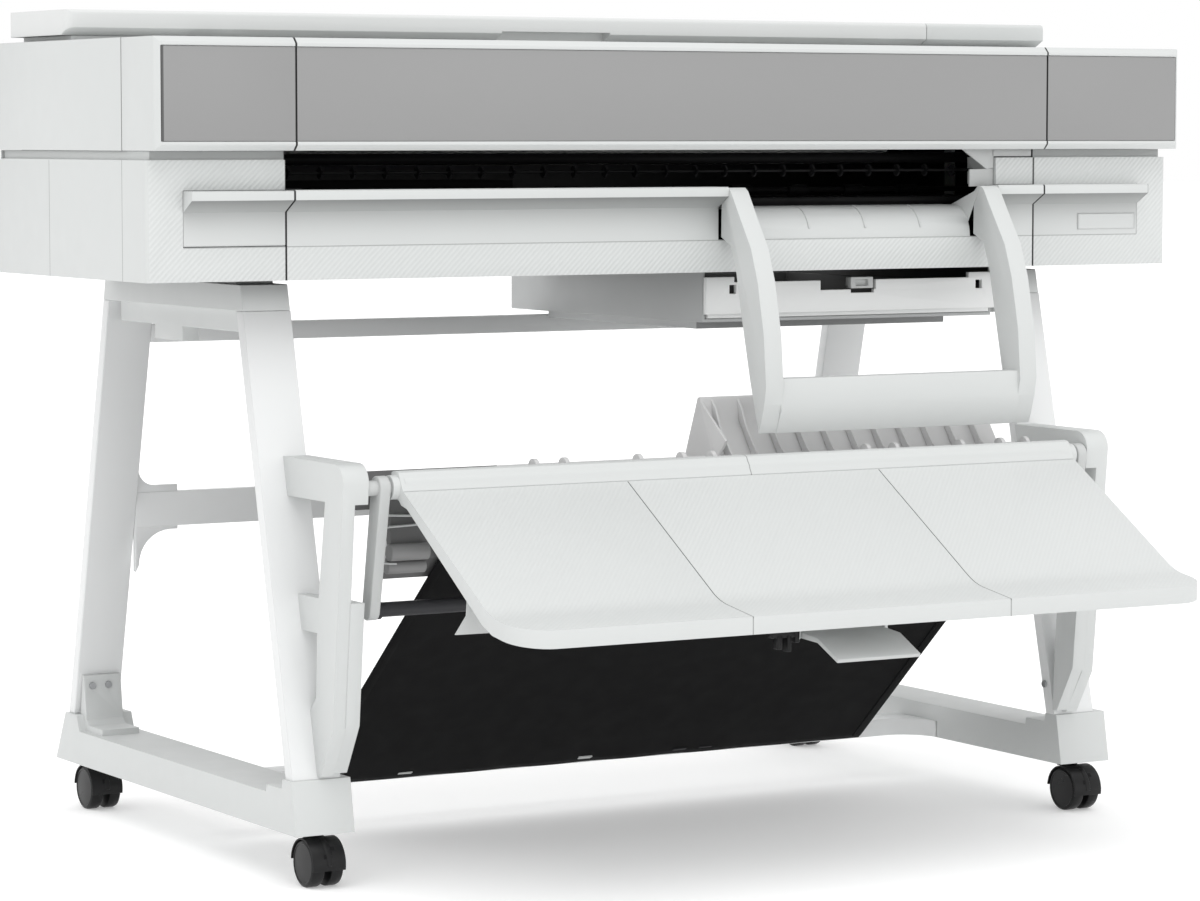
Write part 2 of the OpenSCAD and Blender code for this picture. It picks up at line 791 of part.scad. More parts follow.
// foot beam with a raised block under each leg and the angle bracket behind the rear leg's foot
module foot() {
    z0 = caster_h;
    z1 = caster_h + foot_h;
    front_y = front_leg_y(foot_z1);
    rear_y = rear_leg_y(foot_z1);
    along_x(foot_x0, foot_x1)
        polygon([[foot_y0, z0], [foot_y1, z0], [rear_y + 3, foot_z1], [rear_y - leg_t - 14, foot_z1],
                 [rear_y - leg_t - 22, z1], [front_y + leg_t + 42, z1],
                 [front_y + leg_t + 40, z1 + 8], [front_y + leg_t + 4, z1 + 8],
                 [front_y + leg_t + 2, foot_z1], [front_y - 3, foot_z1]]);
    // angle bracket screwed to the rear leg
    along_x(foot_x0 + 14, foot_x0 + 60)
        polygon([[rear_y - leg_t - 68, z1 - 1], [rear_y - leg_t - 2, z1 - 1],
                 [rear_leg_y(160) - leg_t - 0.2, 160], [rear_leg_y(160) - leg_t - 5, 160],
                 [rear_y - leg_t - 22, z1 + 14], [rear_y - leg_t - 30, z1 + 7],
                 [rear_y - leg_t - 68, z1 + 7]]);
}

module feet() {
    color(white) place() difference() {
        pair() difference() {
            foot();
            for (y = [caster_front, caster_rear])
                translate([caster_x, y, caster_h - 1]) cylinder(h = 31, r = stem_r + clear);
        }
        screws(0.1);
    }
}

// flared plate that carries the middle bar on a leg whose inner face is at x = 0
module flare() {
    polygon(concat([[0, 68]], arc([24, 48], 20, 180, 270, 6), [[53, 28], [53, -24]],
                   arc([44, -64], 40, 90, 180, 8), [[0, -72]]));
}

module crossbars() {
    x0 = left_leg_x + leg_w;
    x1 = right_leg_x;
    mid_z = body_z - 280;
    mid_y = rear_leg_y(mid_z) - leg_t;
    top_y = rear_leg_y(cap_z0 - 40);
    color(pale) place() {
        block([x0, x1], [top_y - leg_t, top_y - 2], [cap_z0 - 50, cap_z0 - 29]);
        block([x0, x1], [mid_y, mid_y + 14], [mid_z - 20, mid_z + 20]);
        translate([x0, 0, mid_z]) along_y(mid_y + 1, mid_y + 9) flare();
        translate([x1, 0, mid_z]) along_y(mid_y + 1, mid_y + 9) mirror([1, 0]) flare();
        block([-foot_x0, foot_x0], [250, 285], [caster_h, caster_h + 20]);
        // curved gussets that meet the foot beams
        pair() translate([0, 0, caster_h]) linear_extrude(20)
            polygon(concat([[foot_x0, 285], [foot_x0, 205]], arc([foot_x0 - 45, 205], 45, 0, 90, 8)));
    }
}

// screws that show: two through each angle bracket, one on the inside of each front leg
module screws(grow) {
    y = rear_leg_y(148) - leg_t - 5;
    for (s = [-1, 1], x = [foot_x0 + 30, foot_x0 + 50])
        bar_y(y - 6, y + 3, s * x, 148, 4 + grow);
    bar_x(left_leg_x + leg_w - 1, left_leg_x + leg_w + 2, [-14, 148], 4 + grow);
    bar_x(right_leg_x - 2, right_leg_x + 1, [-14, 148], 4 + grow);
}

module stand_screws() { color(steel) place() screws(0); }

// ---- stacker ----

// side view of the bracket that carries the stacker in front of a front leg
module bracket_outline() {
    z = body_z - drawn_z;
    polygon(concat([[front_leg_y(448 + z), 448 + z]],
                   arc([bracket_y - 90, 428 + z], 20, 90, 180, 6),
                   [[bracket_y - 107, 400 + z], [bracket_y - 84, 168 + z],
                    [bracket_y - 54, 117 + z], [front_leg_y(117 + z), 117 + z],
                    [front_leg_y(185 + z), 185 + z], [bracket_y - 45, 200 + z],
                    [bracket_y - 48, 268 + z], [front_leg_y(268 + z), 268 + z],
                    [front_leg_y(305 + z), 305 + z], [bracket_y - 52, 305 + z],
                    [bracket_y - 68, 407 + z], [front_leg_y(407 + z), 407 + z]]));
}

// inner channel cover on the lower part of the bracket
module channel_outline() {
    z = body_z - drawn_z;
    translate([bracket_y, z])
        polygon([[-99, 303], [-86, 173], [-56, 120], [-48, 120], [-52, 200], [-60, 303]]);
}

// one bracket with its outer face at x = 0 and the stacker towards +X
module bracket() {
    difference() {
        union() {
            along_x(0, bracket_w / 2) bracket_outline();
            along_x(bracket_w / 2 - 1, bracket_w) intersection() {
                bracket_outline();
                translate([-150, shaft[1] - 16]) square([400, 60]);
            }
            along_x(bracket_w / 2 - 1, bracket_w) channel_outline();
        }
        bar_x(bracket_w / 2 - 1, bracket_w + 1, shaft, shaft_journal_r + clear);
    }
}

module stacker_brackets() {
    color(white) place() {
        translate([bracket_ends[0], 0, 0]) bracket();
        translate([bracket_ends[1], 0, 0]) mirror([1, 0, 0]) bracket();
    }
}

module stacker_shaft() {
    x0 = bracket_ends[0] + bracket_w;
    x1 = bracket_ends[1] - bracket_w;
    color(pale) place() {
        bar_x(x0 + 1, x1 - 1, shaft, shaft_r);
        bar_x(x0 - 13, x1 + 13, shaft, shaft_journal_r);
    }
}

// side view of the stacker tray: cover strip over the shaft, slope and flat lip
function tray_upper() = concat(arc(shaft, 17, 60, 115, 6), [tray_top],
                               arc(tray_bend + [-27.2, 76.9], 80, 300.7, 278.3, 6), [tray_lip]);

module tray_outline() {
    polygon(concat([[-77, shaft[1] + 3]], tray_upper(),
                   [tray_lip - [0, tray_t], tray_bend - [4, 19], tray_bend + [16, -11],
                    [-112, shaft[1] - 21], [-99, shaft[1] - 18]]));
}

// two lugs under the tray that carry the flap
module flap_lugs() {
    for (x = [flap_x[0] - 5, flap_x[1] + 1])
        along_x(x, x + 4)
            polygon([flap_hinge + [-5, 0], flap_hinge + [-4, -4], flap_hinge + [4, -4],
                     flap_hinge + [6, 40], flap_hinge + [-6, 34]]);
}

module tray_bore() { bar_x(-tray_half_w - 9, tray_half_w + 9, shaft, shaft_r + clear); }

module stacker_tray() {
    corner_r = 40;
    color(white) place() difference() {
        intersection() {
            union() {
                along_x(-tray_half_w, tray_half_w) tray_outline();
                bar_x(-tray_half_w + 5, tray_half_w - 5, shaft, 14.5);
                bar_x(-tray_half_w - 8, tray_half_w + 8, shaft, 12.8);
                flap_lugs();
            }
            // rounded front corners in plan
            linear_extrude(far)
                polygon(concat([[-tray_half_w - 9, -60], [-tray_half_w - 9, -101],
                                [-tray_half_w, -101]],
                               arc([-tray_half_w + corner_r, tray_lip[0] + corner_r], corner_r, 180, 270),
                               arc([tray_half_w - corner_r, tray_lip[0] + corner_r], corner_r, 270, 360),
                               [[tray_half_w, -101], [tray_half_w + 9, -101],
                                [tray_half_w + 9, -60]]));
        }
        tray_bore();
        bar_x(flap_x[0] - 6, flap_x[1] + 6, flap_hinge, 2 + clear);
        // seams between the panels
        for (x = [-161, 161])
            along_x(x - 0.5, x + 0.5)
                polygon([[-105, shaft[1] + 3], [tray_bend[0] + 10, tray_bend[1] + 15],
                         [tray_lip[0] - 1, tray_lip[1] + 8], [tray_lip[0] - 1, tray_lip[1] - 2],
                         [tray_bend[0], tray_bend[1] - 1.2], [-104, tray_top[1] - 1.2]]);
        along_x(-tray_half_w - 1, tray_half_w + 1)
            polygon([[-105.4, tray_top[1] + 3], [-104, tray_top[1] + 3], [-103.4, tray_top[1] - 1.2],
                     [-104.4, tray_top[1] - 1.6]]);
    }
}

// ribbed body behind the tray, with a raised guide for small sheets on the right
module deflector() {
    z = shaft[1];
    color(grey) place() {
        // rounded humps that lift the paper over the tray's cover strip
        for (x = [-248, -211, -119, -64, -26, 177, 215, 305, 361, 395])
            along_x(x - 2.5, x + 2.5)
                polygon(concat(arc([-56, z + 11.5], 9, 0, 180, 10), [[-63, z - 10], [-48, z - 8]]));
        // cheek at the left end of the raised guide
        along_x(14, 17)
            polygon([[38, z + 72], [66, z + 4], [-2, z + 4], [-21, z + 27]]);
        along_x(-tray_half_w + 6, tray_half_w - 6)
            polygon([[-62, z - 8], [-64, z - 60], [-66, z - 77], [-52, z - 89], [-38, z - 101],
                     [-30, z - 96], [-34, z - 80], [-20, z - 40], [6, z + 8], [2, z + 10],
                     [-30, z - 10], [-50, z - 5]]);
        // tabs that fix it between the brackets
        block([bracket_ends[0] + bracket_w, -tray_half_w + 8], [-46, -30], [z - 26, z - 8]);
        block([tray_half_w - 8, bracket_ends[1] - bracket_w], [-46, -30], [z - 26, z - 8]);
        along_x(14, 400)
            polygon([[0, z + 6], [6, z + 2], [34, z + 40], [38, z + 72], [33, z + 73], [28, z + 44]]);
        for (i = [0 : 10])
            along_x(28 + i * 34, 31 + i * 34)
                polygon([[-30, z - 10], [2, z + 10], [28, z + 46], [33, z + 70], [24, z + 60],
                         [14, z + 40], [-8, z + 14], [-34, z - 4]]);
    }
}

module swing_frame() {
    color(pale) place() {
        pair() difference() {
            along_x(swing_x0, swing_x0 + swing_w)
                polygon(concat(arc(shaft, 12.5, -20, 190, 14), arc(rod, 10.5, 190, 340, 10)));
            bar_x(swing_x0 - 1, swing_x0 + swing_w + 1, shaft, shaft_r + clear);
        }
        bar_x(-swing_x0 - 1, swing_x0 + 1, rod, rod_r);
    }
}

module lower_handle() {
    color(pale) place() {
        bar_x(flap_x[0], flap_x[1], flap_hinge, 3.5);
        bar_x(flap_x[0] - 4.5, flap_x[1] + 4.5, flap_hinge, 2);
        along_x(flap_x[0], flap_x[1])
            polygon([flap_hinge + [0, 3.5], flap_hinge + [-36, 0], flap_hinge + [-74, -18],
                     flap_hinge + [-73, -22], flap_hinge + [-35, -5], flap_hinge + [0, -3]]);
    }
}

module catch_sheet() {
    d = (sheet_high - sheet_low) / norm(sheet_high - sheet_low);
    n = [-d[1], d[0]] * sheet_t;
    color(black) place() along_x(-sheet_half_w, sheet_half_w)
        polygon([sheet_low, sheet_high, sheet_high + n, sheet_low + n]);
}

// ---- casters ----

// hooded fork of a twin-wheel caster that trails forward; its stem turns in the foot beam
module caster(x, y) {
    color(black) place() translate([x, y, 0]) {
        translate([0, 0, 50.5]) cylinder(h = 35.5, r = stem_r);
        translate([0, 0, 50.5]) cylinder(h = caster_h - 50.8, r = 12);
        // web between the wheels and hood over them
        mirror([0, 1, 0]) difference() {
            along_x(-3, 3)
                polygon(concat([[-10, 54]], arc([trail, wheel_r], 29, 110, 0, 10),
                               [[trail + 10, 22], [trail - 16, 18], [-10, 34]]));
            bar_x(-4, 4, [trail, wheel_r], axle_r + clear);
        }
        mirror([0, 1, 0]) along_x(-20, 20)
            polygon(concat(arc([trail, wheel_r], 29, 192, -15, 20),
                           arc([trail, wheel_r], 26.5, -15, 192, 20)));
    }
}

module caster_fl() { caster(-caster_x, caster_front); }

module caster_fr() { caster(caster_x, caster_front); }

module caster_rl() { caster(-caster_x, caster_rear); }

module caster_rr() { caster(caster_x, caster_rear); }

// two wheels on one axle
module wheels(x, y) {
    color(black) place() translate([x, y, 0]) {
        for (s = [-1, 1])
            bar_x(s * (3.5 + wheel_w / 2) - wheel_w / 2, s * (3.5 + wheel_w / 2) + wheel_w / 2,
                  [0, wheel_r], wheel_r);
        bar_x(-4, 4, [0, wheel_r], axle_r);
    }
}

module wheels_fl() { wheels(-caster_x, caster_front - trail); }

module wheels_fr() { wheels(caster_x, caster_front - trail); }

module wheels_rl() { wheels(-caster_x, caster_rear - trail); }

module wheels_rr() { wheels(caster_x, caster_rear - trail); }

base_pan();
left_lower_cover();
right_lower_cover();
cartridge_door();
front_ledge_cover();
rear_cover();
power_inlet();
left_upper_cover();
right_upper_cover();
end_panels();
rear_housing();
front_window();
window_panel();
roll_cover();
control_panel();
touch_screen();
power_button();
side_frames();
platen();
guide_rail();
carriage();
carriage_belt();
drive_pulley();
idler_pulley();
drive_motors();
feed_roller();
pinch_rollers();
roll_spindle();
spindle_hubs();
paper_roll();
star_wheels();
cutter();
ink_cartridges();
service_station();
electronics_box();
output_ramp();
output_bail();
sheet_tray_housing();
sheet_tray();
tray_latch();
stand_caps();
legs();
feet();
crossbars();
stand_screws();
stacker_brackets();
stacker_shaft();
stacker_tray();
deflector();
swing_frame();
lower_handle();
catch_sheet();
caster_fl();
caster_fr();
caster_rl();
caster_rr();
wheels_fl();
wheels_fr();
wheels_rl();
wheels_rr();
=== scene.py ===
import json
import math

import bmesh
import bpy
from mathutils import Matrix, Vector
from mathutils.bvhtree import BVHTree

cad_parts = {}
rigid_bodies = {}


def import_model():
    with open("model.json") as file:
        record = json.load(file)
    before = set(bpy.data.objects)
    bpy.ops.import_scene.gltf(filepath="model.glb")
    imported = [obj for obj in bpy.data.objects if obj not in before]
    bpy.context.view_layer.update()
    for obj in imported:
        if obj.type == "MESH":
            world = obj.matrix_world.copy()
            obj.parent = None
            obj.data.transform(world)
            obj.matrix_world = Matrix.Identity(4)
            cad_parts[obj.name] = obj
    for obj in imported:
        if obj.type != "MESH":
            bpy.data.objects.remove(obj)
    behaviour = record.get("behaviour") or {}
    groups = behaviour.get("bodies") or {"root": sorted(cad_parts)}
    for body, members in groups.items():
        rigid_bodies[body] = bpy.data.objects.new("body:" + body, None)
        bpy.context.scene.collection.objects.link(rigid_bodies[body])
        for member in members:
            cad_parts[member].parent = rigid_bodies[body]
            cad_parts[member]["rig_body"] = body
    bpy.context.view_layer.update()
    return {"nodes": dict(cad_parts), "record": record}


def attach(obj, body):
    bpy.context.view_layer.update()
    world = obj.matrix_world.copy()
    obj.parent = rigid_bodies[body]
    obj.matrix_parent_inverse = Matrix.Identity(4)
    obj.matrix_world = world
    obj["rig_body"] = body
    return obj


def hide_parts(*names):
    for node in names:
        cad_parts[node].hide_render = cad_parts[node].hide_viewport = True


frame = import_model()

nodes = frame["nodes"]
slots = {p["node"]: p["material_slot"] for p in frame["record"]["subparts"]}

# mesh handling
SAME_POINT = 2e-6                # points of a CAD mesh closer than this, in metres, are one
FLAT = math.radians(0.6)         # faces that meet at less than this are one flat face
UNDER_ALL, OVER_ALL = -1.0, 2.0  # heights below and above every part, in metres
CAD_SHADING = ("custom_normal", "sharp_edge", "sharp_face")

# base colours, linear: the covers, the cut-sheet tray and the roll cover (lighter copies of the covers'
# white, painted light), the tray's housing (a darker copy, painted shade), the pale fittings and the
# inside (near black, partly painted shade)
WHITE = (0.588, 0.603, 0.598)
LIT_WHITE = (0.78, 0.79, 0.785)
LID_LIT = (0.65, 0.66, 0.655)
SHADED = (0.42, 0.43, 0.43)
PALE = (0.505, 0.516, 0.512)
DARK = (0.008, 0.008, 0.0085)

# places on the covers that the materials follow, in metres in the row frame
WINDOW_LEFT, WINDOW_RIGHT = -0.499, 0.4655  # x of the front window's two ends
GAP = 0.0024                     # width of the open gaps at those ends
JOINT = 0.0013                   # width of a closed joint
SIDE_FACE = 0.655                # x beyond which a surface belongs to the sides of the body
FRONT_FACE = -0.0925             # y of the lower covers' front
INSET_HALF = 0.6165              # half the width of the inset band in that front
INSET_LOW, INSET_TALL = 0.6695, 0.06  # z of the band's lower edge, and its height
SHADE_TALL = 0.049               # height of the shaded part of the band, under the ledge
STRIP_FRONT = -0.2235            # y of the front edge of the stacker tray's upper strip


# ---------------------------------------------------------------- helpers

def at(x, y, z):
    """A point in millimetres, from the middle of the body's front face and the floor, in the row frame."""
    return Vector((x / 1000, (y - 119.5) / 1000, z / 1000))


def linked(name, data):
    """A new object in the scene."""
    obj = bpy.data.objects.new(name, data)
    bpy.context.scene.collection.objects.link(obj)
    return obj


def piece(name, mesh, material, body, smooth=35):
    """Links a mesh as a piece that rides on a body; edges sharper than smooth degrees stay sharp."""
    mesh.shade_smooth()
    mesh.set_sharp_from_angle(angle=math.radians(smooth))
    mesh.materials.clear()
    mesh.materials.append(material)
    obj = linked(name, mesh)
    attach(obj, body)
    return obj


def mesh_of(name, bm):
    """Turns a bmesh into a mesh with outward normals."""
    bmesh.ops.recalc_face_normals(bm, faces=bm.faces)
    mesh = bpy.data.meshes.new(name)
    bm.to_mesh(mesh)
    bm.free()
    return mesh


def applied(obj):
    """The mesh of an object with its modifiers applied. The object itself is removed."""
    graph = bpy.context.evaluated_depsgraph_get()
    made = bpy.data.meshes.new_from_object(obj.evaluated_get(graph), depsgraph=graph)
    bpy.data.objects.remove(obj)
    return made


def bevelled(mesh, width, segments=2, angle=40):
    """A copy of the mesh with its edges sharper than angle degrees rounded."""
    obj = linked("tmp", mesh)
    mod = obj.modifiers.new("edge", "BEVEL")
    mod.width = width
    mod.segments = segments
    mod.limit_method = "ANGLE"
    mod.angle_limit = math.radians(angle)
    mod.use_clamp_overlap = True
    mod.miter_outer = "MITER_SHARP"
    return applied(obj)


def prism(bm, first, second):
    """Adds a solid between two matching rings of points."""
    a = [bm.verts.new(p) for p in first]
    b = [bm.verts.new(p) for p in second]
    bm.faces.new(a)
    bm.faces.new(b)
    for i in range(len(a)):
        j = (i + 1) % len(a)
        bm.faces.new((a[i], a[j], b[j], b[i]))


def extrude_x(bm, outline, x0, x1):
    """A prism from an outline of (y, z) points in metres, between two places along X."""
    prism(bm, [(x0, y, z) for y, z in outline], [(x1, y, z) for y, z in outline])


def extrude_y(bm, outline, y0, y1):
    """A prism from an outline of (x, z) points in millimetres, between two places along Y."""
    prism(bm, [at(x, y0, z) for x, z in outline], [at(x, y1, z) for x, z in outline])


def split_loose(mesh):
    """The separate solids of a mesh, each as its own bmesh."""
    bm = bmesh.new()
    bm.from_mesh(mesh)
    bmesh.ops.remove_doubles(bm, verts=bm.verts, dist=SAME_POINT)
    left = set(bm.verts)
    groups = []
    while left:
        stack = [left.pop()]
        group = set(stack)
        while stack:
            v = stack.pop()
            for e in v.link_edges:
                w = e.other_vert(v)
                if w not in group:
                    group.add(w)
                    stack.append(w)
        left -= group
        groups.append(sorted(v.index for v in group))
    made = []
    for group in sorted(groups):
        keep = set(group)
        part = bm.copy()
        part.verts.ensure_lookup_table()
        bmesh.ops.delete(part, geom=[v for v in part.verts if v.index not in keep], context="VERTS")
        made.append(part)
    bm.free()
    return made


def trimmed(mesh, plan):
    """The part of a mesh inside an outline of (x, y) points."""
    bm = bmesh.new()
    prism(bm, [(x, y, UNDER_ALL) for x, y in plan], [(x, y, OVER_ALL) for x, y in plan])
    cutter = linked("cutter", mesh_of("cutter", bm))
    obj = linked("trim", mesh)
    mod = obj.modifiers.new("trim", "BOOLEAN")
    mod.operation = "INTERSECT"
    mod.solver = "EXACT"
    mod.object = cutter
    made = applied(obj)
    bpy.data.objects.remove(cutter)
    return made


def rounded(node, width=0.0009, segments=2, angle=40, material=None, plan=None):
    """A piece in the exact shape of a CAD node, with its hard edges rounded as moulded parts have them.

    plan is an outline of (x, y) points in metres that the part is trimmed to first.
    """
    joined = bmesh.new()
    for part in split_loose(nodes[node].data):
        bmesh.ops.dissolve_limit(part, angle_limit=FLAT, verts=part.verts, edges=part.edges)
        mesh = bpy.data.meshes.new("part")
        part.to_mesh(mesh)
        part.free()
        for name in CAD_SHADING:
            if name in mesh.attributes:
                mesh.attributes.remove(mesh.attributes[name])
        if plan:
            mesh = trimmed(mesh, plan)
        made = bevelled(mesh, width, segments, angle)
        joined.from_mesh(made)
        bpy.data.meshes.remove(made)
        bpy.data.meshes.remove(mesh)
    name = node + "_shell"
    slot = slots[node]
    obj = piece(name, mesh_of(name, joined), material or surfaces[slot], nodes[node]["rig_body"], 32)
    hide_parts(node)


def lathe(bm, profile, centre, count=72):
    """Turns a profile of (x, radius) pairs about an axis along X."""
    rings = []
    for x, r in profile:
        if r <= 0:
            rings.append([bm.verts.new(centre + Vector((x, 0, 0)))])
            continue
        rings.append([bm.verts.new(centre + Vector((x, r * math.cos(a), r * math.sin(a))))
                      for a in (2 * math.pi * i / count for i in range(count))])
    for a, b in zip(rings, rings[1:]):
        for i in range(count):
            j = (i + 1) % count
            corners = [a[i % len(a)], a[j % len(a)], b[j % len(b)], b[i % len(b)]]
            face = list(dict.fromkeys(corners))
            if len(face) > 2:
                bm.faces.new(face)


def arc(cy, cz, r, start, end, count):
    """Points of a circular arc about (cy, cz), angles in degrees from the first axis to the second."""
    turns = [math.radians(start + (end - start) * i / count) for i in range(count + 1)]
    return [(cy + r * math.cos(a), cz + r * math.sin(a)) for a in turns]


def mirrored(points, y):
    """Points of a (y, z) outline turned to the other side of a wheel's centre line."""
    return [(2 * y - py, z) for py, z in points]


def circle(x, y, z, r, count=40):
    """A level ring of points."""
    return [(x + r * math.cos(2 * math.pi * i / count), y + r * math.sin(2 * math.pi * i / count), z)
            for i in range(count)]


# ---------------------------------------------------------------- materials

class Surface:
    """A procedural material: cloudy colour, uneven gloss, fine moulded grain and soft edges."""

    def __init__(self, name, colour, rough, metal=0.0, cloud=0.02, cloud_scale=5.0, uneven=0.05,
                 grain=1400.0, depth=0.00002, stretch=(1, 1, 1), soften=0.0, ior=1.46, shine=0.5):
        self.material = bpy.data.materials.new(name)
        self.material.use_nodes = True
        self.tree = self.material.node_tree
        self.shader = self.tree.nodes["Principled BSDF"]
        self.shader.inputs["Metallic"].default_value = metal
        self.shader.inputs["IOR"].default_value = ior
        self.shader.inputs["Specular IOR Level"].default_value = shine
        self.place = self.add("ShaderNodeTexCoord").outputs["Object"]
        wide = self.noise(cloud_scale, 4.0)
        dark = [c * (1 - cloud) for c in colour]
        light = [min(1.0, c * (1 + cloud)) for c in colour]
        self.colour = self.blend(wide, dark, light)
        gloss = self.noise(38.0, 3.0)
        spread = self.add("ShaderNodeMapRange")
        spread.inputs["From Min"].default_value = 0.3
        spread.inputs["From Max"].default_value = 0.7
        spread.inputs["To Min"].default_value = rough - uneven
        spread.inputs["To Max"].default_value = rough + uneven
        self.link(gloss, spread.inputs["Value"])
        self.link(spread.outputs["Result"], self.shader.inputs["Roughness"])
        self.normal = None
        if soften:
            soft = self.add("ShaderNodeBevel")
            soft.samples = 4
            soft.inputs["Radius"].default_value = soften
            self.normal = soft.outputs["Normal"]
        scaled = self.add("ShaderNodeMapping")
        scaled.inputs["Scale"].default_value = stretch
        self.link(self.place, scaled.inputs["Vector"])
        self.bump(self.noise(grain, 2.0, scaled.outputs["Vector"]), depth)
        self.finish()

    def add(self, kind, **settings):
        node = self.tree.nodes.new(kind)
        for k, v in settings.items():
            setattr(node, k, v)
        return node

    def link(self, a, b):
        self.tree.links.new(a, b)

    def noise(self, scale, detail, place=None):
        node = self.add("ShaderNodeTexNoise")
        node.inputs["Scale"].default_value = scale
        node.inputs["Detail"].default_value = detail
        self.link(place or self.place, node.inputs["Vector"])
        return node.outputs["Fac"]

    def blend(self, factor, a, b):
        node = self.add("ShaderNodeMix", data_type="RGBA")
        self.link(factor, node.inputs["Factor"])
        for socket, value in ((node.inputs[6], a), (node.inputs[7], b)):
            if isinstance(value, (list, tuple)):
                socket.default_value = (*value, 1.0)
            else:
                self.link(value, socket)
        return node.outputs[2]

    def maths(self, kind, a, b=None, c=None):
        node = self.add("ShaderNodeMath", operation=kind)
        for i, value in enumerate((a, b, c)):
            if value is None:
                continue
            if isinstance(value, (int, float)):
                node.inputs[i].default_value = value
            else:
                self.link(value, node.inputs[i])
        return node.outputs[0]

    def bump(self, height, distance, strength=1.0):
        node = self.add("ShaderNodeBump")
        node.inputs["Distance"].default_value = distance
        node.inputs["Strength"].default_value = strength
        self.link(height, node.inputs["Height"])
        if self.normal is not None:
            self.link(self.normal, node.inputs["Normal"])
        self.normal = node.outputs["Normal"]

    def wave(self, direction, pitch):
        """0 to 1 ridges across a direction, one every pitch metres."""
        dot = self.add("ShaderNodeVectorMath", operation="DOT_PRODUCT")
        dot.inputs[1].default_value = [c * 2 * math.pi / pitch for c in Vector(direction).normalized()]
        self.link(self.place, dot.inputs[0])
        sine = self.maths("SINE", dot.outputs["Value"])
        return self.maths("MULTIPLY_ADD", sine, 0.5, 0.5)

    def axis(self, letter, source=None):
        parts = self.add("ShaderNodeSeparateXYZ")
        self.link(source or self.place, parts.inputs["Vector"])
        return parts.outputs[letter]

    def facing(self, letter, limit):
        """1 where the normal's part along an axis is above a positive limit, or below a negative one."""
        normal = self.add("ShaderNodeTexCoord").outputs["Normal"]
        kind = "GREATER_THAN" if limit > 0 else "LESS_THAN"
        return self.maths(kind, self.axis(letter, normal), limit)

    def near(self, letter, where, width):
        """1 where a coordinate is within half the width of a place."""
        off = self.maths("ABSOLUTE", self.maths("SUBTRACT", self.axis(letter), where))
        return self.maths("LESS_THAN", off, width / 2)

    def joint(self, mask, strength):
        """Darkens the colour where the mask is 1: along a dark joint line, and as painted shade."""
        self.colour = self.blend(self.maths("MULTIPLY", mask, strength), self.colour, (0.01, 0.01, 0.01))

    def finish(self):
        self.link(self.colour, self.shader.inputs["Base Color"])
        if self.normal is not None:
            self.link(self.normal, self.shader.inputs["Normal"])
        return self.material


def add_joints(s):
    """Draws the dark joints between the covers: both ends of the front window, and down the sides."""
    s.joint(s.maths("MAXIMUM", s.near("X", WINDOW_LEFT, GAP), s.near("X", WINDOW_RIGHT, GAP)), 0.9)
    side = s.maths("GREATER_THAN", s.maths("ABSOLUTE", s.axis("X")), SIDE_FACE)
    low = s.maths("LESS_THAN", s.axis("Z"), 0.7595)
    rear = s.maths("MULTIPLY", s.near("Y", 0.164, JOINT), low)
    seams = s.maths("MAXIMUM", rear, s.near("Y", -0.0315, JOINT))
    s.joint(s.maths("MULTIPLY", side, seams), 0.5)


def add_ridges(s, mask, direction, pitch, depth, crest_highlight):
    """Moulds fine ridges across a direction where the mask is 1, their crests a little paler than the rest
    as a painted highlight.
    """
    ridges = s.maths("MULTIPLY", s.wave(direction, pitch), mask)
    s.bump(ridges, depth, 0.9)
    s.colour = s.blend(s.maths("MULTIPLY", ridges, crest_highlight), s.colour, [min(1.0, c * 1.1) for c in WHITE])


def ridged_front():
    """White plastic of the lower covers: ridged round a plain inset band, with painted shade that darkens
    the band up to the ledge and darkens the front of the neck.
    """
    s = Surface("white_plastic_ridged_front", WHITE, 0.48, depth=0.000015)
    across = s.maths("LESS_THAN", s.maths("ABSOLUTE", s.axis("X")), INSET_HALF)
    band = s.near("Z", INSET_LOW + INSET_TALL / 2, INSET_TALL)
    inset = s.maths("MULTIPLY", across, band)
    mask = s.maths("MULTIPLY", s.near("Y", FRONT_FACE, 0.0008), s.maths("SUBTRACT", 1.0, inset))
    add_ridges(s, mask, (1, 0, -1), 0.0047, 0.0003, 0.8)
    # painted shade under the ledge: the band darkens towards its top
    below = s.maths("MULTIPLY", across, s.near("Z", INSET_LOW + SHADE_TALL / 2, SHADE_TALL))
    rise = s.maths("DIVIDE", s.maths("SUBTRACT", s.axis("Z"), INSET_LOW), SHADE_TALL)
    s.joint(s.maths("MULTIPLY", s.maths("POWER", s.maths("ABSOLUTE", rise), 2.2), below), 0.6)
    # painted shade on the front faces of the recessed neck
    neck = s.maths("MULTIPLY", s.near("Z", 0.7665, 0.0110), s.facing("Y", -0.5))
    s.joint(neck, 0.42)
    outline = s.maths("MULTIPLY", across, s.near("Z", INSET_LOW, 0.0012))
    end = s.maths("MULTIPLY", s.near("X", INSET_HALF, 0.0014), band)
    s.joint(s.maths("MAXIMUM", outline, end), 0.35)
    add_joints(s)
    return s.finish()


def ridged_tray():
    """White plastic of the stacker tray: ridged on top, with the joints of its face and its strip."""
    s = Surface("white_plastic_ridged_tray", WHITE, 0.48, depth=0.000015)
    mask = s.maths("MULTIPLY", s.facing("Z", 0.3), s.maths("LESS_THAN", s.axis("Y"), -0.2245))
    add_ridges(s, mask, (1, -1, 0), 0.0042, 0.00012, 0.25)
    seams = s.maths("MAXIMUM", s.near("X", -0.161, JOINT), s.near("X", 0.161, JOINT))
    s.joint(s.maths("MULTIPLY", seams, s.maths("LESS_THAN", s.axis("Y"), STRIP_FRONT)), 0.5)
    strip = s.maths("GREATER_THAN", s.axis("Y"), STRIP_FRONT)
    s.joint(s.maths("MULTIPLY", s.near("X", -0.004, JOINT), strip), 0.5)
    return s.finish()


def jointed():
    """White plastic of the upper housings, with the joints between them."""
    s = Surface("white_plastic_upper", WHITE, 0.46, soften=0.0007)
    add_joints(s)
    return s.finish()


